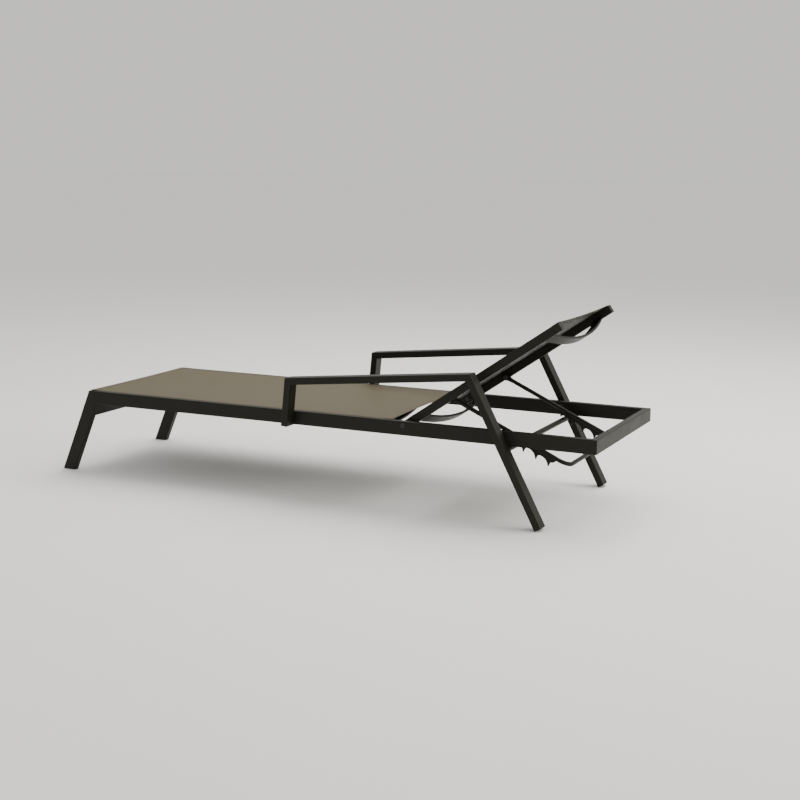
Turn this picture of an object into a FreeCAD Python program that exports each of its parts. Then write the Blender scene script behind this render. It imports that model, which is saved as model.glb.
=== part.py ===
"""Reclining sun lounger: aluminium tube frame, two textile slings, raised backrest on a ratchet prop.

Millimetres, +Z up, +X towards the head end, the sitter's left is -Y, the origin is on the ground
under the middle of the bounding box. The backrest stands in its lowest raised notch.
"""
import FreeCAD
import Part
import math
import os

V = FreeCAD.Vector

# ---- driving dimensions -------------------------------------------------------------------
OVERALL_LENGTH = 2184.0      # foot of the front legs to the face of the head rail
FRAME_WIDTH = 652.0          # over the side rails, without the arm frames
BED_HEIGHT = 322.0           # top of the side rails above the ground
TUBE_DEEP = 50.0             # flat tube, long side
TUBE_THIN = 25.0             # flat tube, short side
TUBE_WALL = 2.0
TUBE_CORNER = 2.5            # outer corner radius of every tube
BORE_CORNER = 0.8            # inner corner radius
PLUG_SLACK = 0.2             # moulded plug inside a tube
PLUG_CORNER = 0.6
CAP_THICK = 5.0              # end caps of the arm frames
CAP_PLUG = 8.0               # how far a cap reaches into its tube
CAP_EDGE_R = 1.2

BACK_RAIL_DEEP = 30.0        # backrest tube, at right angles to the sling
BACK_LENGTH = 673.0          # pivot to the top end of the backrest
SIDE_GAP = 9.0               # side rail to backrest rail
RECLINE = 34.4               # degrees above flat, lowest raised notch
PIVOT_FROM_HEAD = 705.0
SEAT_END_FROM_HEAD = 762.0   # rear edge of the seat sling

FOOT_LEG_LEAN = 22.65        # degrees off vertical
FOOT_RAIL_DROP = 78.0        # middle of the foot rail below the bed
GLIDE_H = 8.0
GLIDE_PLUG = 14.0            # how far a glide reaches into its leg, measured upright
REAR_LEG_LEAN = 27.7
ARM_RISE = 5.5               # degrees, and the lean of the front arm post
ARM_POST_FROM_HEAD = 1149.0  # post centre line at bed height
ARM_FRONT_HEIGHT = 114.6     # arm centre line above the bed, at the post
LEG_FROM_HEAD = 315.6        # rear leg centre line at the catch bar
ARM_BOLTS_BELOW = (17.0, 31.0)   # below the top of the side rails
ARM_BOLT_R = 3.0
ARM_BOLT_HEAD = (6.0, 3.5)   # radius and height
ARM_BOLT_REACH = 11.0        # past the side rail, into the arm frame
INSERT_R = 4.5               # threaded insert in the post or leg
INSERT_LENGTH = 10.0
BOLT_SLACK = 0.2

CATCH_BAR_DROP = 61.5        # below the top of the side rails
CATCH_BAR_R = 10.0
PROP_ALONG = 188.5           # prop pivot along the backrest from the back pivot
PROP_BELOW = 10.0            # prop pivot below the backrest rail's centre line
PROP_INSIDE = 12.0           # prop rod centre inside the backrest rail's inner face
PROP_EYE_R = 12.0
PROP_EYE_HALF = 4.0          # half the eye's thickness
BRACKET_THICK = 3.0
BRACKET_HALF = 22.0          # half its length along the rail
BRACKET_TOP = 9.0            # above the rail's centre line
BRACKET_EYE_R = 15.0
PROP_ROD_R = 7.5
PROP_NUT = (7.5, 6.0)        # radius and height
PROP_FLANGE_R = 9.0          # flange of the prop's bush
PROP_LENGTH = 468.0          # prop pivot to the cross part of the handle
HANDLE_BEND_R = 40.0
BAR_BELOW_ROD = 36.0         # catch bar centre below the prop rod's centre line, at rest
TOOTH_PITCH = 50.0
TOOTH_COUNT = 4
FIRST_TOOTH_DEPTH = 27.0     # tip below the prop rod's centre line
TOOTH_DEPTH = 38.0
NOTCH_ROOF = 18.0            # notch top below the prop rod's centre line
TIP_HALF = 1.5
TOOTH_ARCH = (7.0, 3.5)      # how far a tooth's back bulges, along the rod and up
PLATE_LAP = 1.0              # toothed plate past the underside of the rod
PLATE_TAIL = 6.0             # plate beyond the last notch
PLATE_BEFORE_TOOTH = 38.0    # head start of the toothed plate, clear of the catch bar when flat
HOOK_R = 10.0                # corner between a tooth's square flank and the notch roof
TOOTH_TO_BAR = 13.0          # first tooth tip to the catch bar, along the rod
RATCHET_THICK = 5.0

SPREADER_WIDTH = 40.0
SPREADER_THICK = 9.0
SPREADER_EDGE = 1.5          # broken corners of the flat bar
SPREADER_END_DROP = 30.0     # convex face below the sling side of the rails, at the ends
SPREADER_RISE = 40.0         # extra drop of the convex face in the middle of a backrest bar
REAR_SPREADER_IN = 147.0     # rear spreader's middle in from the seat sling's rear edge
BACK_SPREADERS = (58.0, 610.0)   # along the backrest from the back pivot
SLING_THICK = 2.0
SLING_SHY = 2.0              # sling short of the foot edge and of the backrest's end cap
ROD_SHY = 2.0                # keder rod short of the sling's end
CHANNEL_BEHIND_LEG = 8.0     # start of the seat's keder rods behind the foot leg
SOFT_GAP = 0.3               # sling to tube
SLING_OVER_SLOT = 1.6        # sling edge beyond the middle of the slot
SLOT_IN = 6.0                # slot towards the inner face, from the rail's centre line
SLOT_HALF = 1.4
TONGUE_HALF = 0.8            # half the doubled cloth that runs down the slot
CHANNEL_R = 3.5
KEDER_R = 3.0
KEDER_DEEP = 6.0             # keder rod centre below the rail's top face
FIT = 0.05                   # radial clearance of a running fit

BACK_LOW_X = -22.0           # low end of the backrest rails, from the back pivot
BACK_SLING_X = 10.0          # low end of the back sling
BACK_CAP = 3.0
BACK_CAP_PLUG = 12.0
PIVOT_R = 4.0                # back pivot bolt and prop pin
PIVOT_HEAD = (9.0, 3.5)      # radius and height
PIVOT_NUT = (8.0, 6.7)
BUSH_R = 6.0
BUSH_FLANGE_R = 11.0
SEAT_GAP = 0.3               # bush or nut to the metal that it runs against
BUSH_SHY = 0.2               # end of a bush inside the rail that it turns in

# ---- derived places -----------------------------------------------------------------------
HEAD_X = OVERALL_LENGTH / 2.0
HALF = FRAME_WIDTH / 2.0
RAIL_IN = HALF - TUBE_THIN
RAIL_MID = HALF - TUBE_THIN / 2.0
FOOT_X = -HEAD_X + BED_HEIGHT * math.tan(math.radians(FOOT_LEG_LEAN))
PIVOT = V(HEAD_X - PIVOT_FROM_HEAD, 0, BED_HEIGHT - BACK_RAIL_DEEP / 2.0)
SEAT_END_X = HEAD_X - SEAT_END_FROM_HEAD
BACK_OUT = RAIL_IN - SIDE_GAP
BACK_IN = BACK_OUT - TUBE_THIN
CATCH = V(HEAD_X - LEG_FROM_HEAD, 0, BED_HEIGHT - CATCH_BAR_DROP)
PROP_Y = BACK_IN - PROP_INSIDE
SPREADER_BEND_R = (BACK_IN ** 2 + SPREADER_RISE ** 2) / (2 * SPREADER_RISE)
SIDES = (("left", -1), ("right", 1))
BIG = 4000.0                 # wider than any piece
SPARE = 80.0                 # extra length of a tube before its ends are trimmed

NODES = {}


def keep(name, *solids):
    """Add solids to the named node."""
    NODES.setdefault(name, []).extend(solids)


# ---- shape helpers ------------------------------------------------------------------------
def block(x0, x1, y0, y1, z0, z1):
    return Part.makeBox(x1 - x0, y1 - y0, z1 - z0, V(x0, y0, z0))


def rod_y(x, z, radius, y0, y1):
    """Round bar along Y, between two Y values in any order."""
    return Part.makeCylinder(radius, abs(y1 - y0), V(x, min(y0, y1), z), V(0, 1, 0))


def turned(shape, degrees, centre):
    """Copy raised about the Y axis through centre: +X lifts towards +Z."""
    out = shape.copy()
    out.rotate(centre, V(0, -1, 0), degrees)
    return out


def moved(shape, dx, dy, dz):
    out = shape.copy()
    out.translate(V(dx, dy, dz))
    return out


def beyond(point, normal):
    """Half space on the side of a plane that its normal points to."""
    slab = Part.makeBox(BIG, BIG, BIG, V(-BIG / 2, -BIG / 2, 0))
    slab.Placement = FreeCAD.Placement(point, FreeCAD.Rotation(V(0, 0, 1), normal))
    return slab


def rounded_bar(length, wide, thin, radius):
    """Solid bar along X from the origin, centred on Y and Z, long edges rounded."""
    bar = Part.makeBox(length, wide, thin, V(0, -wide / 2, -thin / 2))
    edges = [e for e in bar.Edges if abs(e.tangentAt(0).x) > 0.99]
    return bar.makeFillet(radius, edges)


def hollow(length, wide, thin):
    """Box tube along X from the origin, centred on Y and Z."""
    bore = rounded_bar(length + 2, wide - 2 * TUBE_WALL, thin - 2 * TUBE_WALL, BORE_CORNER)
    return rounded_bar(length, wide, thin, TUBE_CORNER).cut(moved(bore, -1, 0, 0))


def placed(shape, start, direction):
    """Move a bar made along X so that it starts at a point and runs along an XZ direction."""
    angle = math.degrees(math.atan2(direction.z, direction.x))
    out = turned(shape, angle, V(0, 0, 0))
    out.translate(start)
    return out


def flat_tube(start, end, wide, thin, ends=()):
    """Hollow tube between two points of an XZ plane, trimmed by (point, outward normal) planes."""
    run = end - start
    length = run.Length
    along = V(run).normalize()
    spare = SPARE if ends else 0.0
    tube = placed(hollow(length + 2 * spare, wide, thin), start - along * spare, along)
    for point, normal in ends:
        tube = tube.cut(beyond(point, normal))
    return tube


def cap_with_plug(end, along, wide, thin, thick):
    """Plastic cap on a square-cut tube end: outer plate and a plug inside the bore."""
    plate = rounded_bar(thick, wide, thin, TUBE_CORNER)
    on_face = [e for e in plate.Edges if abs(e.BoundBox.XMin - thick) < 1e-6 and e.BoundBox.XLength < 1e-6]
    plate = plate.makeFillet(CAP_EDGE_R, on_face)
    slack = 2 * TUBE_WALL + PLUG_SLACK
    plug = rounded_bar(CAP_PLUG, wide - slack, thin - slack, PLUG_CORNER)
    return placed(plate.fuse(moved(plug, -CAP_PLUG, 0, 0)), end, along)


def keder_rail(length, deep, side):
    """Rail along +X, top face at z = 0: box tube with a round channel and a slot along its top."""
    y = -side * SLOT_IN
    z = deep / 2 - KEDER_DEEP
    wall = Part.makeCylinder(CHANNEL_R + TUBE_WALL, length, V(0, y, z), V(1, 0, 0))
    rail = hollow(length, TUBE_THIN, deep).fuse(wall)
    rail = rail.cut(Part.makeCylinder(CHANNEL_R, length + 2, V(-1, y, z), V(1, 0, 0)))
    rail = rail.cut(block(-1, length + 1, y - SLOT_HALF, y + SLOT_HALF, z, deep))
    return moved(rail.removeSplitter(), 0, 0, -deep / 2)


def sling(x0, x1, tongue_x0, slot_y, z):
    """Flat sling whose two edges turn down into the rail slots, as far as the keder rods."""
    half = slot_y + SLING_OVER_SLOT
    panel = block(x0, x1, -half, half, z + SOFT_GAP, z + SOFT_GAP + SLING_THICK)
    foot = z - KEDER_DEEP + KEDER_R + SOFT_GAP
    inside = z + SOFT_GAP + SLING_THICK / 2
    for y in (-slot_y, slot_y):
        panel = panel.fuse(block(tongue_x0, x1, y - TONGUE_HALF, y + TONGUE_HALF, foot, inside))
    return panel


def keder(x0, x1, slot_y, z):
    """Two plastic rods that hold the sling's edges in the rail channels."""
    ends = [V(x0, y, z - KEDER_DEEP) for y in (-slot_y, slot_y)]
    return [Part.makeCylinder(KEDER_R, x1 - x0, end, V(1, 0, 0)) for end in ends]


def bowed_bar(x_mid, half_span, end_z):
    """Flat bar bent to an arc that bulges downwards, cut square between two rails; end_z is the
    height of its convex face at the rails."""
    low_z = end_z - SPREADER_BEND_R + math.sqrt(SPREADER_BEND_R ** 2 - half_span ** 2)
    centre = V(0, 0, low_z + SPREADER_BEND_R)
    wide = SPREADER_WIDTH / 2
    thick = SPREADER_THICK
    edge = SPREADER_EDGE
    corners = [(-wide, edge), (-wide + edge, 0), (wide - edge, 0), (wide, edge), (wide, thick - edge),
               (wide - edge, thick), (-wide + edge, thick), (-wide, thick - edge), (-wide, edge)]
    face = Part.Face(Part.makePolygon([V(x_mid + x, 0, low_z + z) for x, z in corners]))
    reach = math.degrees(math.asin(half_span / SPREADER_BEND_R)) + 3.0
    face.rotate(centre, V(1, 0, 0), -reach)
    bar = face.revolve(centre, V(1, 0, 0), 2 * reach)
    for side in (-1, 1):
        bar = bar.cut(beyond(V(0, side * half_span, 0), V(0, side, 0)))
    return bar


def screw(start, way, head, shank_r, shank_len):
    """Dome-headed screw: the head stands outside start, the shank runs towards way (+1 or -1) in Y."""
    head_r, head_h = head
    axis = V(0, way, 0)
    top_y = start.y - way * head_h
    dome = Part.makeCylinder(head_r, head_h, start - axis * head_h, axis)
    rim = [e for e in dome.Edges if len(e.Vertexes) == 1 and abs(e.CenterOfMass.y - top_y) < 1e-3]
    dome = dome.makeFillet(head_h * 0.7, rim)
    socket = Part.makeCylinder(head_r * 0.4, head_h * 0.6, start - axis * head_h, axis)
    shank = Part.makeCylinder(shank_r, shank_len, start, axis)
    return dome.cut(socket).fuse(shank)


def ring_y(x, z, outer_r, inner_r, y0, y1):
    """Ring about an axis along Y, between two Y values in any order."""
    return rod_y(x, z, outer_r, y0, y1).cut(rod_y(x, z, inner_r, min(y0, y1) - 1, max(y0, y1) + 1))


# ---- bed frame ----------------------------------------------------------------------------
def leg_direction(lean, way):
    """Unit vector down a leg that leans towards +X (way = 1) or -X (way = -1)."""
    a = math.radians(lean)
    return V(way * math.sin(a), 0, -math.cos(a))


FOOT_DIR = leg_direction(FOOT_LEG_LEAN, -1)
FOOT_HALF_X = TUBE_DEEP / 2 / math.cos(math.radians(FOOT_LEG_LEAN))


def foot_axis(z):
    """Centre line of the foot legs at a height."""
    return V(FOOT_X + FOOT_HALF_X - (BED_HEIGHT - z) * math.tan(math.radians(FOOT_LEG_LEAN)), 0, z)


LEG_BACK_X = foot_axis(BED_HEIGHT).x + FOOT_HALF_X


def side_rails():
    """Two rails with a keder channel, mitred at the head and butted against the foot legs."""
    length = HEAD_X - FOOT_X
    behind_leg = V(math.cos(math.radians(FOOT_LEG_LEAN)), 0, -math.sin(math.radians(FOOT_LEG_LEAN)))
    for name, side in SIDES:
        rail = moved(keder_rail(length, TUBE_DEEP, side), FOOT_X, side * RAIL_MID, BED_HEIGHT)
        rail = rail.cut(beyond(V(LEG_BACK_X, 0, BED_HEIGHT), behind_leg * -1))
        rail = rail.cut(beyond(V(HEAD_X, side * HALF, 0), V(1, side * -1, 0)))
        rail = rail.cut(rod_y(PIVOT.x, PIVOT.z, PIVOT_R, side * (RAIL_IN - 1), side * (HALF + 1)))
        for x, z in arm_bolt_places():
            rail = rail.cut(rod_y(x, z, ARM_BOLT_R + BOLT_SLACK, side * (RAIL_IN - 1), side * (HALF + 1)))
        keep("side_rail_" + name, rail)


def head_rail():
    """Cross rail at the head, mitred to both side rails."""
    bar = hollow(FRAME_WIDTH, TUBE_THIN, TUBE_DEEP)
    bar.rotate(V(0, 0, 0), V(0, 0, 1), 90)
    bar.translate(V(HEAD_X - TUBE_THIN / 2, -HALF, BED_HEIGHT - TUBE_DEEP / 2))
    for side in (-1, 1):
        bar = bar.cut(beyond(V(HEAD_X, side * HALF, 0), V(-1, side, 0)))
    keep("head_rail", bar)


def foot_end():
    """Leaning foot legs with flat-cut glides, and the cross rail between the legs."""
    level = V(0, 0, 1)
    for name, side in SIDES:
        y = side * (HALF - TUBE_THIN / 2)
        top = foot_axis(BED_HEIGHT) + V(0, y, 0)
        low = foot_axis(GLIDE_H) + V(0, y, 0)
        leg = tube_in_plane(top, low, ((top, level), (low, level * -1)))
        keep("foot_leg_" + name, leg)
        pad = solid_in_plane(top, low, 0.0, ((low, level), (V(0, 0, 0), level * -1)))
        plug = solid_in_plane(top, low, TUBE_WALL + PLUG_SLACK / 2,
                              ((low + V(0, 0, GLIDE_PLUG), level), (low, level * -1)))
        keep("foot_glides", pad.fuse(plug))
    middle = foot_axis(BED_HEIGHT - FOOT_RAIL_DROP) - V(0, RAIL_IN, 0)
    bar = hollow(2 * RAIL_IN, TUBE_THIN, TUBE_DEEP)
    bar.rotate(V(0, 0, 0), V(0, 0, 1), 90)
    bar.rotate(V(0, 0, 0), V(0, 1, 0), FOOT_LEG_LEAN)
    bar.translate(middle)
    keep("foot_rail", bar)


def tube_in_plane(start, end, ends):
    """Flat tube with its long side in the XZ plane."""
    outer = solid_in_plane(start, end, 0.0, ends)
    return outer.cut(solid_in_plane(start, end, TUBE_WALL, ()))


def solid_in_plane(start, end, inset, ends):
    """Bar with its long side in the XZ plane, thinner by inset on every side, trimmed at ends."""
    run = V(end - start)
    along = V(run).normalize()
    corner = TUBE_CORNER if inset == 0.0 else BORE_CORNER
    bar = rounded_bar(run.Length + 2 * SPARE, TUBE_THIN - 2 * inset, TUBE_DEEP - 2 * inset, corner)
    bar = placed(bar, start - along * SPARE, along)
    for point, normal in ends:
        bar = bar.cut(beyond(point, normal))
    return bar


def catch_bar():
    """Round bar between the rear legs, just under the side rails."""
    keep("catch_bar", ring_y(CATCH.x, CATCH.z, CATCH_BAR_R, CATCH_BAR_R - TUBE_WALL, -HALF, HALF))


def spreaders():
    """Bowed bars that hold the side rails apart under the seat sling."""
    rear = SEAT_END_X - REAR_SPREADER_IN
    for name, x in (("seat_spreader_rear", rear), ("seat_spreader_middle", (FOOT_X + rear) / 2)):
        keep(name, bowed_bar(x, RAIL_IN, BED_HEIGHT - SPREADER_END_DROP))


# ---- arm frames ---------------------------------------------------------------------------
POST_DIR = V(math.sin(math.radians(ARM_RISE)), 0, math.cos(math.radians(ARM_RISE)))
ARM_DIR = V(math.cos(math.radians(ARM_RISE)), 0, math.sin(math.radians(ARM_RISE)))
LEG_DIR = leg_direction(REAR_LEG_LEAN, 1)


def arm_corners():
    """Centre-line points of an arm frame: post foot, front corner, rear corner, leg end."""
    bed = V(HEAD_X - ARM_POST_FROM_HEAD, 0, BED_HEIGHT)
    front = bed + POST_DIR * (ARM_FRONT_HEIGHT / POST_DIR.z)
    foot = bed - POST_DIR * ((TUBE_DEEP - CAP_THICK) / POST_DIR.z)
    gap = CATCH - front
    cross = ARM_DIR.x * LEG_DIR.z - ARM_DIR.z * LEG_DIR.x
    rear = front + ARM_DIR * ((gap.x * LEG_DIR.z - gap.z * LEG_DIR.x) / cross)
    lean = math.radians(REAR_LEG_LEAN)
    rounded_off = CAP_EDGE_R * (math.cos(lean) + math.sin(lean) - 1)
    drop = rear.z - TUBE_THIN / 2 * math.sin(lean) + rounded_off
    end = rear + LEG_DIR * (drop / -LEG_DIR.z - CAP_THICK)
    return foot, front, rear, end


def arm_bolt_places():
    """Bolts through each side rail: two into the front post and two into the rear leg."""
    places = []
    bed = V(HEAD_X - ARM_POST_FROM_HEAD, 0, BED_HEIGHT)
    for below in ARM_BOLTS_BELOW:
        on_post = bed - POST_DIR * (below / POST_DIR.z)
        on_leg = CATCH + LEG_DIR * ((CATCH_BAR_DROP - below) / LEG_DIR.z)
        places.append((on_post.x, on_post.z))
        places.append((on_leg.x, on_leg.z))
    return places


def mitre(first, second):
    """Normal of the mitre plane between two runs, pointing along the first."""
    return V(first + second).normalize()


def arm_frames():
    """Front post, arm and rear leg outside each side rail, with end caps and bolts."""
    foot, front, rear, end = arm_corners()
    at_front = mitre(POST_DIR, ARM_DIR)
    at_rear = mitre(ARM_DIR, LEG_DIR)
    for name, side in SIDES:
        shift = V(0, side * (HALF + TUBE_DEEP / 2), 0)
        f, a, r, e = (point + shift for point in (foot, front, rear, end))
        post = flat_tube(f, a, TUBE_DEEP, TUBE_THIN, ((a, at_front), (f, POST_DIR * -1)))
        bar = flat_tube(a, r, TUBE_DEEP, TUBE_THIN, ((a, at_front * -1), (r, at_rear)))
        leg = flat_tube(r, e, TUBE_DEEP, TUBE_THIN, ((r, at_rear * -1), (e, LEG_DIR)))
        for x, z in arm_bolt_places():
            hole = rod_y(x, z, INSERT_R, side * (HALF - 1), side * (HALF + TUBE_WALL + 1))
            post = post.cut(hole)
            leg = leg.cut(hole)
            under_head = V(x, side * RAIL_IN, z)
            keep("arm_bolts", screw(under_head, side, ARM_BOLT_HEAD, ARM_BOLT_R, TUBE_THIN + ARM_BOLT_REACH))
            insert = ring_y(x, z, INSERT_R, ARM_BOLT_R, side * HALF, side * (HALF + INSERT_LENGTH))
            keep("arm_bolt_inserts", insert)
        keep("arm_post_" + name, post)
        keep("arm_bar_" + name, bar)
        keep("rear_leg_" + name, leg)
        keep("arm_post_caps", cap_with_plug(f, POST_DIR * -1, TUBE_DEEP, TUBE_THIN, CAP_THICK))
        keep("rear_leg_caps", cap_with_plug(e, LEG_DIR, TUBE_DEEP, TUBE_THIN, CAP_THICK))


# ---- seat sling ---------------------------------------------------------------------------
def seat_cover():
    """Seat sling and the two rods that hold it in the side rails."""
    slot_y = RAIL_MID - SLOT_IN
    start = LEG_BACK_X + CHANNEL_BEHIND_LEG
    keep("seat_sling", sling(FOOT_X + SLING_SHY, SEAT_END_X, start, slot_y, BED_HEIGHT))
    keep("seat_keder_rods", *keder(start, SEAT_END_X - ROD_SHY, slot_y, BED_HEIGHT))


# ---- backrest, built flat with the back pivot at the origin ---------------------------------
BACK_TOP = BACK_RAIL_DEEP / 2.0


def backrest():
    """Two rails, sling, bowed bars, prop brackets and pins, as solids in flat position."""
    parts = {}
    half = BACK_IN + TUBE_THIN / 2
    for name, side in SIDES:
        run = BACK_LENGTH - BACK_CAP - BACK_LOW_X
        rail = moved(keder_rail(run, BACK_RAIL_DEEP, side), BACK_LOW_X, side * half, BACK_TOP)
        rail = rail.cut(rod_y(0, 0, BUSH_R + FIT, side * (BACK_IN - 1), side * (BACK_OUT + 1)))
        parts["back_rail_" + name] = [rail]
        y0, y1 = sorted((side * (BACK_IN - BRACKET_THICK), side * BACK_IN))
        plate = block(PROP_ALONG - BRACKET_HALF, PROP_ALONG + BRACKET_HALF, y0, y1, -PROP_BELOW, BRACKET_TOP)
        plate = plate.fuse(rod_y(PROP_ALONG, -PROP_BELOW, BRACKET_EYE_R, y0, y1))
        parts["prop_bracket_" + name] = [plate.removeSplitter()]
        nut_r, nut_h = PROP_NUT
        nut_y = PROP_Y - PROP_FLANGE_R
        pin = rod_y(PROP_ALONG, -PROP_BELOW, PIVOT_R, side * (BACK_IN - BRACKET_THICK), side * nut_y)
        nut = rod_y(PROP_ALONG, -PROP_BELOW, nut_r, side * nut_y, side * (nut_y - nut_h))
        parts.setdefault("prop_pins", []).append(pin.fuse(nut))
        parts.setdefault("back_rail_caps", []).extend(rail_caps(side * half))
    slot_y = half - SLOT_IN
    sling_end = BACK_LENGTH - BACK_CAP - SLING_SHY
    parts["back_sling"] = [sling(BACK_SLING_X, sling_end, BACK_SLING_X, slot_y, BACK_TOP)]
    parts["back_keder_rods"] = keder(BACK_SLING_X + ROD_SHY, sling_end - ROD_SHY, slot_y, BACK_TOP)
    for name, x in zip(("back_spreader_lower", "back_spreader_upper"), BACK_SPREADERS):
        parts[name] = [bowed_bar(x, BACK_IN, BACK_TOP - SPREADER_END_DROP)]
    return parts


def rail_caps(y):
    """Plastic plugs in both ends of a backrest rail."""
    caps = []
    for x, way in ((BACK_LENGTH - BACK_CAP, 1), (BACK_LOW_X, -1)):
        plate = rounded_bar(BACK_CAP, TUBE_THIN, BACK_RAIL_DEEP, TUBE_CORNER)
        tall = BACK_RAIL_DEEP - KEDER_DEEP - CHANNEL_R - 2 * TUBE_WALL - 0.5
        plug = rounded_bar(BACK_CAP_PLUG, TUBE_THIN - 2 * TUBE_WALL - PLUG_SLACK, tall, PLUG_CORNER)
        cap = plate.fuse(moved(plug, -BACK_CAP_PLUG, 0, TUBE_WALL + PLUG_SLACK / 2 + tall / 2 - BACK_TOP))
        if way < 0:
            cap = cap.mirror(V(0, 0, 0), V(1, 0, 0))
        caps.append(moved(cap, x, y, 0))
    return caps


def pivot_hardware():
    """Back pivot: bolt through the side rail, flanged bush that the backrest rail turns with, nut."""
    parts = {}
    for name, side in SIDES:
        nut_r, nut_h = PIVOT_NUT
        nut_y = BACK_IN - SEAT_GAP
        bolt = screw(V(0, side * HALF, 0), -side, PIVOT_HEAD, PIVOT_R, HALF - BACK_IN + PIVOT_NUT[0])
        nut = ring_y(0, 0, nut_r, PIVOT_R, side * nut_y, side * (nut_y - nut_h))
        parts.setdefault("back_pivot_bolts", []).append(bolt)
        parts.setdefault("back_pivot_nuts", []).append(nut)
        bush = rod_y(0, 0, BUSH_R, side * (BACK_IN + BUSH_SHY), side * (BACK_OUT + BUSH_SHY))
        flange = rod_y(0, 0, BUSH_FLANGE_R, side * (BACK_OUT + BUSH_SHY), side * (RAIL_IN - SEAT_GAP))
        bore = rod_y(0, 0, PIVOT_R + FIT, side * (BACK_IN - 1), side * (RAIL_IN + 1))
        parts.setdefault("back_pivot_bushes", []).append(bush.fuse(flange).cut(bore))
    return parts


# ---- prop, built along +X with the prop pivot at the origin ---------------------------------
def prop_pose():
    """Prop pivot in the world, the prop's angle, and the catch bar's place along the prop rod."""
    a = math.radians(RECLINE)
    pivot = PIVOT + V(PROP_ALONG * math.cos(a) + PROP_BELOW * math.sin(a), 0,
                      PROP_ALONG * math.sin(a) - PROP_BELOW * math.cos(a))
    to_bar = CATCH - pivot
    angle = math.atan2(to_bar.z, to_bar.x) + math.asin(BAR_BELOW_ROD / to_bar.Length)
    along = math.sqrt(to_bar.Length ** 2 - BAR_BELOW_ROD ** 2)
    return pivot, math.degrees(angle), along


def ratchet_outline(first_tip):
    """Edge of the toothed plate in XZ: square flank and hooked roof on the head side of each tooth,
    then a long arched back down to the tip of the next."""
    bulge_x, bulge_z = TOOTH_ARCH
    edges = []

    def line(a, b):
        edges.append(Part.makeLine(V(a[0], 0, a[1]), V(b[0], 0, b[1])))

    def arc(a, m, b):
        edges.append(Part.Arc(V(a[0], 0, a[1]), V(m[0], 0, m[1]), V(b[0], 0, b[1])).toShape())

    roof = -NOTCH_ROOF
    under_rod = -PROP_ROD_R - PLATE_LAP
    start = (first_tip - PLATE_BEFORE_TOOTH, 0.0)
    here = (start[0], under_rod)
    line(start, here)
    for k in range(TOOTH_COUNT):
        tip_x = first_tip + k * TOOTH_PITCH
        tip_z = -FIRST_TOOTH_DEPTH if k == 0 else -TOOTH_DEPTH
        near = (tip_x - TIP_HALF, tip_z)
        far = (tip_x + TIP_HALF, tip_z)
        arc(here, ((here[0] + near[0]) / 2 + bulge_x, (here[1] + near[1]) / 2 + bulge_z), near)
        line(near, far)
        flank = (far[0], roof - HOOK_R)
        line(far, flank)
        here = (far[0] + HOOK_R, roof)
        arc(flank, (far[0] + 0.3 * HOOK_R, roof - 0.3 * HOOK_R), here)
    last = (here[0] + PLATE_TAIL, under_rod)
    line(here, last)
    line(last, (last[0], 0.0))
    line((last[0], 0.0), start)
    return Part.Wire(Part.__sortEdges__(edges))


def prop(first_tip):
    """Two rods with eyes, toothed plates under them, and the handle that joins the rods."""
    parts = {}
    for name, side in SIDES:
        y = side * PROP_Y
        straight = PROP_LENGTH - HANDLE_BEND_R - PROP_EYE_R
        rod = Part.makeCylinder(PROP_ROD_R, straight, V(PROP_EYE_R, y, 0), V(1, 0, 0))
        y0 = y - PROP_EYE_HALF
        y1 = y + PROP_EYE_HALF
        eye = rod_y(0, 0, PROP_EYE_R, y0, y1)
        neck = block(0, 2 * PROP_EYE_R, y0, y1, -PROP_ROD_R, PROP_ROD_R)
        hole = rod_y(0, 0, BUSH_R + FIT, y0 - 1, y1 + 1)
        parts["prop_arm_" + name] = [rod.fuse(eye).fuse(neck).cut(hole).removeSplitter()]
        plate = Part.Face(ratchet_outline(first_tip)).extrude(V(0, RATCHET_THICK, 0))
        plate = moved(plate, 0, y - RATCHET_THICK / 2, 0).cut(rod)
        parts["ratchet_" + name] = [plate]
        at_bracket = side * (BACK_IN - BRACKET_THICK - SEAT_GAP)
        bush = rod_y(0, 0, BUSH_R, y - side * (PROP_EYE_HALF + 0.5), at_bracket)
        flange = rod_y(0, 0, PROP_FLANGE_R, y + side * (PROP_EYE_HALF + SEAT_GAP), at_bracket)
        bore = rod_y(0, 0, PIVOT_R + FIT, y - 20, y + 20)
        parts.setdefault("prop_bushes", []).append(bush.fuse(flange).cut(bore))
    parts["prop_handle"] = [handle()]
    return parts


def handle():
    """Cross part of the prop rod with a quarter bend at each end."""
    half = PROP_Y - HANDLE_BEND_R
    room = 2 * HANDLE_BEND_R
    bar = rod_y(PROP_LENGTH, 0, PROP_ROD_R, -half, half)
    for side in (-1, 1):
        centre = V(PROP_LENGTH - HANDLE_BEND_R, side * half, 0)
        ring = Part.makeTorus(HANDLE_BEND_R, PROP_ROD_R, centre, V(0, 0, 1))
        y0, y1 = sorted((centre.y, centre.y + side * room))
        corner = block(centre.x, centre.x + room, y0, y1, -HANDLE_BEND_R, HANDLE_BEND_R)
        bar = bar.fuse(ring.common(corner))
    return bar.removeSplitter()


# ---- build --------------------------------------------------------------------------------
def stand(parts, degrees, place):
    """Turn a flat-built group about its own origin and put it at its pivot."""
    for name, solids in parts.items():
        for solid in solids:
            keep(name, moved(turned(solid, degrees, V(0, 0, 0)), place.x, place.y, place.z))


side_rails()
head_rail()
foot_end()
catch_bar()
spreaders()
arm_frames()
seat_cover()
stand(backrest(), RECLINE, PIVOT)
stand(pivot_hardware(), 0.0, PIVOT)
prop_pivot, prop_angle, bar_along = prop_pose()
stand(prop(bar_along - TOOTH_TO_BAR), prop_angle, prop_pivot)

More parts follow.
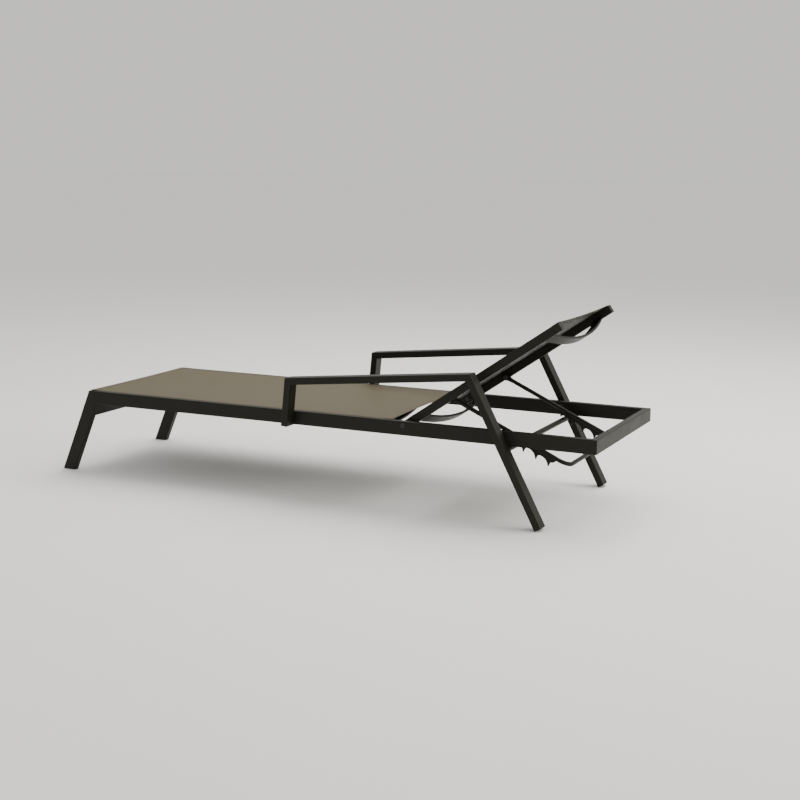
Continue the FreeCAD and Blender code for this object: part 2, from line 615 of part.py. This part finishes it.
os.makedirs("parts", exist_ok=True)
for node, solids in sorted(NODES.items()):
    shape = solids[0] if len(solids) == 1 else Part.makeCompound(solids)
    shape.exportStep(os.path.join("parts", node + ".step"))
print("nodes", len(NODES), "prop pivot", prop_pivot, "prop angle", round(prop_angle, 3),
      "bar along", round(bar_along, 3))
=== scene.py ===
import math

import bpy
from mathutils import Matrix, Vector


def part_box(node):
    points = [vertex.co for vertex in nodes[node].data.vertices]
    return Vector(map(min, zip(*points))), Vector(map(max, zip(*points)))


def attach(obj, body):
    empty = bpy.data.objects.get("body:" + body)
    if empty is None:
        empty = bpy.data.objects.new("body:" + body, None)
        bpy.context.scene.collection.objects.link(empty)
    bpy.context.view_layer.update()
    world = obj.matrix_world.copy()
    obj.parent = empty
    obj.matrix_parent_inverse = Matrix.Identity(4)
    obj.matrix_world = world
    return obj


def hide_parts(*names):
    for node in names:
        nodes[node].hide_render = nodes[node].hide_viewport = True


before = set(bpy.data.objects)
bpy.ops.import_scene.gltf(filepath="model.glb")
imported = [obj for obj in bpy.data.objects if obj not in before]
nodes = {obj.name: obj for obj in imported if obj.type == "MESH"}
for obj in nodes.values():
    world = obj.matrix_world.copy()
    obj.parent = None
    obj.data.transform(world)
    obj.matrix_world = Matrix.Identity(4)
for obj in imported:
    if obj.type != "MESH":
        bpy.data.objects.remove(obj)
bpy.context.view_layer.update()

# Camera
# A long lens at the height of a standing adult's chest, off the lounger's left side and
# towards its head end, so that the foot of the bed is the far end, at the left.
VIEW_YAW, VIEW_PITCH, VIEW_ROLL = (math.radians(a) for a in (25.14, 10.32, 0.42))
towards_viewer = Vector((math.sin(VIEW_YAW) * math.cos(VIEW_PITCH),
                         -math.cos(VIEW_YAW) * math.cos(VIEW_PITCH), math.sin(VIEW_PITCH)))
level = Vector((math.cos(VIEW_YAW), math.sin(VIEW_YAW), 0))
upright = towards_viewer.cross(level)
right = level * math.cos(VIEW_ROLL) + upright * math.sin(VIEW_ROLL)
up = upright * math.cos(VIEW_ROLL) - level * math.sin(VIEW_ROLL)
bpy.ops.object.camera_add(location=(2.4756, -4.7999, 1.2972))
camera = bpy.context.object
camera.name = "camera"
camera.rotation_euler = Matrix((right, up, towards_viewer)).transposed().to_euler()
camera.data.lens = 64.93
bpy.context.scene.camera = camera

# Studio
# A wide pale floor, a large soft box high above the bed, a second one beyond the head rail,
# a weak soft sun that keeps the far floor as light as the room, and a bright even room.
bpy.ops.mesh.primitive_plane_add(size=80)
floor = bpy.context.object
floor.name = "studio_floor"


def soft_box(name, place, target, size, watts, colour):
    """Square area light that faces a point."""
    bpy.ops.object.light_add(type="AREA", location=place)
    lamp = bpy.context.object
    lamp.name = name
    lamp.data.size = size
    lamp.data.energy = watts
    lamp.data.color = colour
    lamp.rotation_euler = (Vector(place) - Vector(target)).to_track_quat("Z", "Y").to_euler()


soft_box("overhead_box", (0.6, 1.6, 4.2), (0.0, 0.0, 0.3), 4.0, 225, (1.0, 0.985, 0.95))
soft_box("head_end_box", (5.2, 1.2, 2.2), (0.6, 0.0, 0.3), 2.4, 138, (1.0, 0.93, 0.8))
bpy.ops.object.light_add(type="SUN", location=(0, 0, 5), rotation=(-0.35, 0, 0))
skylight = bpy.context.object
skylight.name = "skylight"
skylight.data.energy = 0.33
skylight.data.angle = 1.3
room = bpy.data.worlds.new("studio_room")
room.use_nodes = True
room.node_tree.nodes["Background"].inputs["Color"].default_value = (1.0, 0.985, 0.96, 1)
room.node_tree.nodes["Background"].inputs["Strength"].default_value = 0.8
bpy.context.scene.world = room


class Wire:
    """A value or colour in a finish; arithmetic between wires adds Math nodes."""

    def __init__(self, finish, socket):
        self.finish, self.socket = finish, socket

    def maths(self, operation, *terms):
        return self.finish.node("ShaderNodeMath", {"operation": operation}, dict(enumerate(terms)))

    def __add__(self, other):
        return self.maths("ADD", self, other)

    def __sub__(self, other):
        return self.maths("SUBTRACT", self, other)

    def __rsub__(self, other):
        return self.maths("SUBTRACT", other, self)

    def __mul__(self, other):
        return self.maths("MULTIPLY", self, other)

    __radd__, __rmul__ = __add__, __mul__


class Finish:
    """A surface finish: a material whose nodes are added one by one."""

    def __init__(self, name, **shader):
        self.material = bpy.data.materials.new(name)
        self.material.use_nodes = True
        self.tree = self.material.node_tree
        self.feed(**shader)

    def node(self, kind, settings=None, inputs=None, out=0):
        made = self.tree.nodes.new(kind)
        for key, value in (settings or {}).items():
            setattr(made, key, value)
        for key, value in (inputs or {}).items():
            self.join(made.inputs[key], value)
        return Wire(self, made.outputs[out])

    def join(self, socket, value):
        if isinstance(value, Wire):
            self.tree.links.new(value.socket, socket)
        else:
            socket.default_value = value

    def feed(self, **shader):
        """Set or link sockets of the shader; a name's underscores are its spaces."""
        sockets = self.tree.nodes["Principled BSDF"].inputs
        for key, value in shader.items():
            self.join(sockets[key.replace("_", " ")], value)

    def speckle(self, scale, detail=2.0):
        """Soft random spots fixed to the piece, about 1/scale metres across."""
        place = self.node("ShaderNodeTexCoord", out="Object")
        return self.node("ShaderNodeTexNoise", None, {"Vector": place, "Scale": scale, "Detail": detail})

    def blend(self, amount, low, high):
        return self.node("ShaderNodeMix", {"data_type": "RGBA"}, {"Factor": amount, 6: low, 7: high}, out=2)

    def bump(self, height, depth, strength=1.0):
        return self.node("ShaderNodeBump", None, {"Height": height, "Distance": depth, "Strength": strength})


floor_paint = Finish("floor_paint", Base_Color=(0.86, 0.86, 0.85, 1), Roughness=0.75)
floor_paint.feed(Base_Color=floor_paint.blend(floor_paint.speckle(3.0), (0.85, 0.85, 0.84, 1),
                                              (0.87, 0.87, 0.86, 1)))
floor.data.materials.append(floor_paint.material)


# Powder-coated tubes
# Flat aluminium tube with a dark bronze-black coat baked on: side rails, arms, legs, cross
# rails and backrest rails. The coat has a fine sandy grain, and it is a little
# thinner and glossier in places.
def clad(finish, *names):
    """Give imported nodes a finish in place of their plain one."""
    for name in names:
        slots = nodes[name].data.materials
        slots.clear()
        slots.append(finish.material)


def powder_coat(name, shade):
    coat = Finish(name, Specular_IOR_Level=0.17)
    drift = coat.speckle(9.0, 4.0)
    grain = coat.speckle(1500.0, 1.0)
    dark = tuple(0.82 * part for part in shade) + (1,)
    pale = tuple(1.22 * part for part in shade) + (1,)
    coat.feed(Base_Color=coat.blend(drift * 0.7 + grain * 0.3, dark, pale),
              Roughness=0.4 + drift * 0.14,
              Normal=coat.bump(grain, 0.00012, 0.45))
    return coat


bronze_coat = powder_coat("bronze_black_coat", (0.0102, 0.0097, 0.0062))
clad(bronze_coat, "side_rail_left", "side_rail_right", "head_rail", "foot_rail", "foot_leg_left",
     "foot_leg_right", "arm_post_left", "arm_post_right", "arm_bar_left", "arm_bar_right", "rear_leg_left",
     "rear_leg_right", "catch_bar", "back_rail_left", "back_rail_right", "seat_spreader_rear",
     "seat_spreader_middle", "back_spreader_lower", "back_spreader_upper", "prop_arm_left",
     "prop_arm_right", "prop_handle", "prop_bracket_left", "prop_bracket_right", "ratchet_left",
     "ratchet_right")

# Caps and glides
# Black polythene end caps of the posts, rear legs and backrest rails, and the glides under
# the foot legs: moulded, pressed into the tubes, with a fine spark-eroded grain.
moulded = Finish("black_polythene", Specular_IOR_Level=0.25)
pebble = moulded.speckle(2600.0, 1.0)
moulded.feed(Base_Color=moulded.blend(moulded.speckle(40.0), (0.012, 0.012, 0.012, 1),
                                      (0.022, 0.021, 0.02, 1)),
             Roughness=0.62 + pebble * 0.12, Normal=moulded.bump(pebble, 0.0001, 0.5))
clad(moulded, "arm_post_caps", "rear_leg_caps", "back_rail_caps", "foot_glides")

# Bolts, nuts and pins
# Stainless steel, blackened and then waxed, so that it is as dark as the coat beside it,
# with fine turned marks and a little bare metal where a key has been.
blackened = Finish("blackened_stainless", Specular_IOR_Level=0.4)
scuff = blackened.speckle(700.0, 3.0)
blackened.feed(Base_Color=blackened.blend(scuff, (0.014, 0.014, 0.013, 1), (0.045, 0.043, 0.04, 1)),
               Metallic=0.15 + scuff * 0.35, Roughness=0.38 + scuff * 0.2,
               Normal=blackened.bump(scuff, 0.00005, 0.4))
clad(blackened, "arm_bolts", "arm_bolt_inserts", "back_pivot_bolts", "back_pivot_nuts", "prop_pins")

# Bushes
# Turned black nylon, dull, on the back pivots and on the prop's pins. They keep the coated
# tubes from wearing on the bolts.
nylon = Finish("black_nylon")
turned = nylon.speckle(300.0)
nylon.feed(Base_Color=nylon.blend(turned, (0.018, 0.018, 0.018, 1), (0.03, 0.03, 0.03, 1)),
           Roughness=0.42 + turned * 0.1)
clad(nylon, "back_pivot_bushes", "prop_bushes")

# Keder rods
# Extruded white polythene rods that run inside the rails' channels, in the slings' side
# pockets. Only their ends show.
keder = Finish("white_polythene")
milky = keder.speckle(120.0)
keder.feed(Base_Color=keder.blend(milky, (0.55, 0.55, 0.52, 1), (0.66, 0.66, 0.63, 1)),
           Roughness=0.45 + milky * 0.1)
clad(keder, "seat_keder_rods", "back_keder_rods")


# Weld beads
# Fine rippled beads laid round the ends of the bars that butt against a tube: the foot rail,
# the bowed bars and the catch bar. They are under the coat, so they share its colour.
def round_rect(share, half_w, half_h, corner):
    """Point and outward direction a share of the way round a rectangle with rounded corners."""
    arc = corner * math.pi / 2
    left = share * 4 * (half_w + half_h - 2 * corner + arc)
    for side in range(4):
        run, out = (2 * (half_h - corner), half_w) if side % 2 == 0 else (2 * (half_w - corner), half_h)
        if left <= run + arc or side == 3:
            break
        left -= run + arc
    turn = side * math.pi / 2
    bend = turn + min(max(left - run, 0) / corner, math.pi / 2)
    normal = Vector((math.cos(turn), math.sin(turn)))
    tangent = Vector((-math.sin(turn), math.cos(turn)))
    facing = Vector((math.cos(bend), math.sin(bend)))
    return normal * (out - corner) + tangent * (min(left, run) - run / 2) + facing * corner, facing


def weld_bead(name, body, wall, half_w, half_h, corner, lean, coat):
    """Bead round a bar along Y where it meets a wall; lean turns the bar's section about Y."""
    ripple_pitch = 0.0022
    ripples = int(4 * (half_w + half_h) / ripple_pitch)
    bpy.ops.mesh.primitive_torus_add(major_segments=4 * ripples, minor_segments=8, major_radius=1.0,
                                     minor_radius=0.001)
    bead = bpy.context.object
    bead.name = name
    for vertex in bead.data.vertices:
        x, y, height = vertex.co
        share = (math.atan2(y, x) / (2 * math.pi)) % 1.0
        swell = 1.15 + 0.22 * math.sin(2 * math.pi * ripples * share)
        centre, outward = round_rect(share, half_w, half_h, corner)
        flat = centre + outward * ((math.hypot(x, y) - 1.0) * swell)
        vertex.co = (flat.x * math.cos(lean) + flat.y * math.sin(lean) + wall[0],
                     wall[1] - math.copysign(0.0003, wall[1]) + height * swell,
                     flat.y * math.cos(lean) - flat.x * math.sin(lean) + wall[2])
    bpy.ops.object.mode_set(mode="EDIT")
    bpy.ops.mesh.select_all(action="SELECT")
    bpy.ops.mesh.normals_make_consistent(inside=False)
    bpy.ops.object.mode_set(mode="OBJECT")
    bpy.ops.object.shade_smooth()
    bead.data.materials.append(coat.material)
    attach(bead, body)


RECLINE = math.radians(34.4)
BACK_PIVOT = Vector((0.387, 0.0, 0.307))


def on_back(along, y, off):
    """Place on the raised backrest: along it from the pivot, across, and off its mid plane."""
    return BACK_PIVOT + Vector((along * math.cos(RECLINE) - off * math.sin(RECLINE), y,
                                along * math.sin(RECLINE) + off * math.cos(RECLINE)))


def middle_of(name):
    """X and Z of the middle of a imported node's box."""
    low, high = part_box(name)
    return 0.5 * (low[0] + high[0]), 0.5 * (low[2] + high[2])


bpy.ops.object.select_all(action="DESELECT")
SIDES = (("left", -1), ("right", 1))
RAIL_INNER_FACE = 0.301
foot_lean = math.radians(22.65)
foot_x, foot_z = middle_of("foot_rail")
for name, side in SIDES:
    weld_bead("foot_rail_weld_" + name, "frame", (foot_x, side * RAIL_INNER_FACE, foot_z), 0.0125, 0.025,
              0.0025, foot_lean, bronze_coat)
    weld_bead("catch_bar_weld_" + name, "frame", (0.7764, side * 0.326, 0.2605), 0.010, 0.010, 0.00999,
              0.0, bronze_coat)
    for bar in ("rear", "middle"):
        place = (middle_of("seat_spreader_" + bar)[0], side * RAIL_INNER_FACE, 0.2968)
        weld_bead(f"seat_spreader_{bar}_weld_{name}", "frame", place, 0.020, 0.0048, 0.0015, 0.0,
                  bronze_coat)
    for bar, along in (("lower", 0.058), ("upper", 0.610)):
        place = on_back(along, side * 0.267, -0.0103)
        weld_bead(f"back_spreader_{bar}_weld_{name}", "backrest", tuple(place), 0.020, 0.0047, 0.0015,
                  -RECLINE, bronze_coat)


# Leg top plates
# Small aluminium plates set into the open tops of the foot legs, welded and ground flush
# before coating, so that no water gets into the tubes.
LEG_TOP_FOOTWARD, LEG_TOP_HEADWARD = -0.9576, -0.9034
PLATE_GAP = 0.0042      # both ends together, inside the tube's walls
plate_size = (LEG_TOP_HEADWARD - LEG_TOP_FOOTWARD - PLATE_GAP, 0.0211, 0.0024)
for name, side in SIDES:
    plate_middle = (0.5 * (LEG_TOP_HEADWARD + LEG_TOP_FOOTWARD), side * 0.3135, 0.3206)
    bpy.ops.mesh.primitive_cube_add(size=1, location=plate_middle, scale=plate_size)
    plate = bpy.context.object
    plate.name = "leg_top_plate_" + name
    bpy.ops.object.transform_apply(location=True, rotation=True, scale=True)
    bpy.ops.object.mode_set(mode="EDIT")
    bpy.ops.mesh.select_all(action="SELECT")
    bpy.ops.mesh.bevel(offset=0.0005, segments=2)
    bpy.ops.object.mode_set(mode="OBJECT")
    bpy.ops.object.shade_smooth_by_angle(angle=math.radians(40))
    plate.data.materials.append(bronze_coat.material)
    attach(plate, "frame")


# Sling cloth
# Taupe mesh cloth of vinyl-coated polyester yarn in a plain weave, about nine yarns to the
# centimetre, warp a little paler than weft, with painted shade in the gaps between yarns. Its
# underside gets a darker copy of the finish, painted shade.
YARN = 0.00115


def mesh_cloth(name, tilt, shade):
    """Woven finish whose yarns lie along and across a piece raised by tilt about Y; a shade below 1 darkens
    it all, painted shade.
    """
    cloth = Finish(name, Sheen_Weight=0.03, Specular_IOR_Level=0.2)
    place = cloth.node("ShaderNodeTexCoord", out="Object")
    laid = cloth.node("ShaderNodeMapping", None, {"Vector": place, "Rotation": (0, tilt, 0)})
    axes = cloth.node("ShaderNodeSeparateXYZ", None, {"Vector": laid})
    along = axes * (1 / YARN)
    across = Wire(cloth, axes.socket.node.outputs["Y"]) * (1 / YARN)
    ridge_warp = across.maths("ABSOLUTE", across.maths("SINE", across * math.pi))
    ridge_weft = along.maths("ABSOLUTE", along.maths("SINE", along * math.pi))
    step = across.maths("FLOOR", across) + along.maths("FLOOR", along)
    warp_up = step.maths("PINGPONG", step, 1.0)
    height = warp_up * ridge_warp + (1 - warp_up) * ridge_weft
    fleck = cloth.speckle(420.0, 2.0)
    cloud = cloth.speckle(5.0, 3.0)
    # shade below 1 darkens every colour here: painted shade for a cloth's underside.
    weft = tuple(shade * part for part in (0.094, 0.0765, 0.0385)) + (1,)
    warp = tuple(shade * part for part in (0.125, 0.1030, 0.0530)) + (1,)
    # The gap colour, used where the weave's height is low, is painted shade between the yarns.
    weave_gap_painted_shade = tuple(shade * part for part in (0.041, 0.0330, 0.0165)) + (1,)
    yarn = cloth.blend(warp_up, weft, warp)
    # Darker where the weave is low: painted shade in the gaps, mixed with random flecks and clouds of tone.
    yarn_tone_and_gap_shade = cloth.blend(height * 0.75 + fleck * 0.15 + cloud * 0.1, weave_gap_painted_shade, yarn)
    cloth.feed(Base_Color=yarn_tone_and_gap_shade, Roughness=0.62 - height * 0.12, Normal=cloth.bump(height, 0.00035, 0.8))
    return cloth


CLOTH = 0.0009          # one layer's thickness
PLY = 0.0011            # from one layer's middle to the next
HEM = 0.024
HEM_RAMP = 0.005        # where the upper layer comes down from the hem to the single cloth


def stations(start, end, *extra):
    """Places along a sling with its hems folded under: (place, layer), layer 1 underneath."""
    inner = HEM + 0.006
    steps = int((end - start - 2 * inner) / 0.028)
    plain = [start + inner + (end - start - 2 * inner) * k / steps for k in range(steps + 1)]
    plain = sorted(plain + list(extra))
    head = [(start + HEM, 1), (start + 0.012, 1), (start + 0.0007, 1), (start, 0.5), (start + 0.0007, 0),
            (start + 0.012, 0), (start + HEM, 0)]
    tail = [(end - (place - start), layer) for place, layer in reversed(head)]
    return head + [(place, 0) for place in plain] + tail


def stretched(name, rows, slot, surface):
    """Cloth between two rails: rows along it, its side edges turned down into the slots."""
    edge = [(slot, -0.0045), (slot, -0.0020), (slot - 0.0004, -0.0007), (slot - 0.0016, 0.0),
            (slot - 0.0065, 0.0), (slot - 0.014, 0.0)]
    inside = slot - 0.021
    panels = 20
    middle = [(inside * (1 - 2 * k / panels), 0.0) for k in range(panels + 1)]
    columns = edge + middle + [(-y, drop) for y, drop in reversed(edge)]
    bpy.ops.mesh.primitive_grid_add(x_subdivisions=len(rows) - 1, y_subdivisions=len(columns) - 1, size=1)
    cloth = bpy.context.object
    cloth.name = name
    for vertex in cloth.data.vertices:
        place, layer = rows[round((vertex.co.x + 0.5) * (len(rows) - 1))]
        y, drop = columns[round((0.5 - vertex.co.y) * (len(columns) - 1))]
        vertex.co = surface(place, y, layer, drop)
    wall = cloth.modifiers.new("thickness", "SOLIDIFY")
    wall.thickness = CLOTH
    wall.offset = 0
    bpy.ops.object.modifier_apply(modifier=wall.name)
    bpy.ops.object.shade_smooth_by_angle(angle=math.radians(50))
    return cloth


def two_sided(cloth, upper, under, facing):
    """Give a cloth its finishes: upper on what faces outwards, under, its darker copy with painted shade, on
    the rest.
    """
    cloth.data.materials.append(upper.material)
    cloth.data.materials.append(under.material)
    for face in cloth.data.polygons:
        face.material_index = 0 if face.normal.dot(facing) > -0.2 else 1


def sewn(name, seams, finish):
    """Rows of short stitches along seams: each seam is a list of (point, along, up) frames."""
    bpy.ops.mesh.primitive_cylinder_add(vertices=6, radius=0.00042, depth=0.0030,
                                        rotation=(0, math.pi / 2, 0))
    pattern = bpy.context.object
    bpy.ops.object.transform_apply(location=False, rotation=True, scale=False)
    bpy.ops.object.mode_set(mode="EDIT")
    bpy.ops.mesh.select_all(action="DESELECT")
    bpy.ops.object.mode_set(mode="OBJECT")
    for face in pattern.data.polygons:
        face.select = abs(face.normal.x) > 0.9
    bpy.ops.object.mode_set(mode="EDIT")
    bpy.ops.mesh.select_mode(type="FACE")
    bpy.ops.mesh.bevel(offset=0.0003, segments=1)
    bpy.ops.object.mode_set(mode="OBJECT")
    shape = [vertex.co.copy() for vertex in pattern.data.vertices]
    sides = [tuple(face.vertices) for face in pattern.data.polygons]
    bpy.data.objects.remove(pattern)
    points, faces = [], []
    for seam in seams:
        for point, along, upwards in seam:
            aside = upwards.cross(along)
            base = len(points)
            points += [point + along * c.x + aside * c.y + upwards * (c.z * 0.7) for c in shape]
            faces += [tuple(base + k for k in side) for side in sides]
    mesh = bpy.data.meshes.new(name)
    mesh.from_pydata(points, [], faces)
    thread = bpy.data.objects.new(name, mesh)
    bpy.context.collection.objects.link(thread)
    mesh.materials.append(finish.material)
    bpy.ops.object.select_all(action="DESELECT")
    thread.select_set(True)
    bpy.context.view_layer.objects.active = thread
    bpy.ops.object.shade_smooth_by_angle(angle=math.radians(60))
    return thread


def seam(surface, start, end, layer, lift, pitch=0.0042):
    """Frames of one row of stitches on a cloth, from (place, y) to (place, y)."""
    count = int(math.hypot(end[0] - start[0], end[1] - start[1]) / pitch)
    frames = []
    for k in range(count):
        share = (k + 0.5) / count
        spot = [start[i] + (end[i] - start[i]) * share for i in (0, 1)]
        step = [(end[i] - start[i]) * 0.5 / count for i in (0, 1)]
        here = surface(spot[0], spot[1], layer, 0.0)
        along = (surface(spot[0] + step[0], spot[1] + step[1], layer, 0.0)
                 - surface(spot[0] - step[0], spot[1] - step[1], layer, 0.0)).normalized()
        aside = (surface(spot[0] + 0.001, spot[1], layer, 0.0)
                 - surface(spot[0] - 0.001, spot[1], layer, 0.0)).normalized()
        if abs(along.dot(aside)) > 0.9:
            aside = (surface(spot[0], spot[1] + 0.001, layer, 0.0)
                     - surface(spot[0], spot[1] - 0.001, layer, 0.0)).normalized()
        upwards = along.cross(aside).normalized()
        if upwards.z < 0:
            upwards = -upwards
        frames.append((here + upwards * lift, along, upwards))
    return frames


thread_finish = Finish("bonded_thread")
ply_twist = thread_finish.speckle(2500.0, 2.0)
thread_finish.feed(Base_Color=thread_finish.blend(ply_twist, (0.075, 0.060, 0.038, 1),
                                                  (0.120, 0.098, 0.064, 1)),
                   Roughness=0.5 + ply_twist * 0.2)


def hem_share(place, start, end):
    """1 on the doubled hems, 0 on the single cloth between them."""
    inward = min(place - start, end - place)
    return min(max((HEM + HEM_RAMP - inward) / HEM_RAMP, 0.0), 1.0)


def all_seams(surface, start, end, slot, side_from):
    """Two rows on each hem, on both faces, and one row inside each rail."""
    rows = []
    width = slot - 0.004
    outer_row, inner_row, pocket_row = 0.005, 0.021, 0.0115
    for place in (start + outer_row, start + inner_row, end - inner_row, end - outer_row):
        rows.append(seam(surface, (place, -width), (place, width), 0, CLOTH / 2))
        rows.append(seam(surface, (place, -width + 0.02), (place, width - 0.02), 1, -CLOTH / 2))
    for side in (-1, 1):
        y = side * (slot - pocket_row)
        rows.append(seam(surface, (side_from, y), (end - 0.003, y), 0, CLOTH / 2))
    return rows


# Seat sling
# One piece of mesh cloth from the foot to the back pivots. Its sides are pulled into the
# slots of the side rails, and its two ends are hemmed, so the free rear edge draws in.
SEAT_START, SEAT_END, SEAT_SLOT = -0.9556, 0.330, 0.3075
CHANNEL_START = -0.8955


def seat_surface(place, y, layer, drop):
    across = min(abs(y) / SEAT_SLOT, 1.0)
    bow = 1 - across * across
    ends = min(max((place - 0.06) / (SEAT_END - 0.06), 0.0), 1.0) ** 2
    foot = min(max((-0.80 - place) / (-0.80 - SEAT_START), 0.0), 1.0) ** 2
    x = place + ends * (0.0075 - 0.0155 * bow) + foot * 0.002 * bow
    turned = 1.0 if place > CHANNEL_START else 0.0
    wide = y + math.copysign((0.0005 * (1 - 2 * layer) + (1 - turned) * 0.0012) * (across > 0.99), y)
    slack = 0.0032 * bow * min(max((place - SEAT_START) / 0.15, 0.35), 1.0)
    height = 0.3226 + PLY * hem_share(place, SEAT_START, SEAT_END) - PLY * layer - slack
    return Vector((x, wide, height + drop * turned))


bpy.ops.object.select_all(action="DESELECT")
seat_upper = mesh_cloth("taupe_mesh_cloth_seat", 0.0, 1.0)
# The underside's finish is the same cloth darkened to 0.35: painted shade.
seat_underside_painted_shade = mesh_cloth("taupe_mesh_cloth_seat_underside_painted_shade", 0.0, 0.35)
seat_rows = stations(SEAT_START, SEAT_END, CHANNEL_START - 0.0006, CHANNEL_START + 0.0006)
seat_cloth = stretched("seat_cloth", seat_rows, SEAT_SLOT, seat_surface)
two_sided(seat_cloth, seat_upper, seat_underside_painted_shade, Vector((0, 0, 1)))
seat_seams = all_seams(seat_surface, SEAT_START, SEAT_END, SEAT_SLOT, -0.953)
seat_stitches = sewn("seat_stitches", seat_seams, thread_finish)
for piece in (seat_cloth, seat_stitches):
    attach(piece, "frame")
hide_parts("seat_sling")

# Back sling
# The same cloth, shorter and narrower, stretched between the backrest's two rails and
# hemmed at the top and at the pivots. It moves with the backrest.
BACK_START, BACK_END, BACK_SLOT = 0.010, 0.668, 0.2735


def back_surface(place, y, layer, drop):
    across = min(abs(y) / BACK_SLOT, 1.0)
    bow = 1 - across * across
    nearness = (2 * (place - BACK_START) / (BACK_END - BACK_START) - 1) ** 3
    wide = y + math.copysign(0.0005 * (1 - 2 * layer) * (across > 0.99), y)
    height = 0.0156 + PLY * hem_share(place, BACK_START, BACK_END) - PLY * layer - 0.003 * bow
    return on_back(place - 0.005 * bow * nearness, wide, height + drop)


bpy.ops.object.select_all(action="DESELECT")
back_upper = mesh_cloth("taupe_mesh_cloth_back", RECLINE, 1.0)
# The underside's finish is the same cloth darkened to 0.12: painted shade.
back_underside_painted_shade = mesh_cloth("taupe_mesh_cloth_back_underside_painted_shade", RECLINE, 0.12)
back_cloth = stretched("back_cloth", stations(BACK_START, BACK_END), BACK_SLOT, back_surface)
two_sided(back_cloth, back_upper, back_underside_painted_shade, Vector((-math.sin(RECLINE), 0, math.cos(RECLINE))))
back_seams = all_seams(back_surface, BACK_START, BACK_END, BACK_SLOT, 0.013)
back_stitches = sewn("back_stitches", back_seams, thread_finish)
for piece in (back_cloth, back_stitches):
    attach(piece, "backrest")
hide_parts("back_sling")
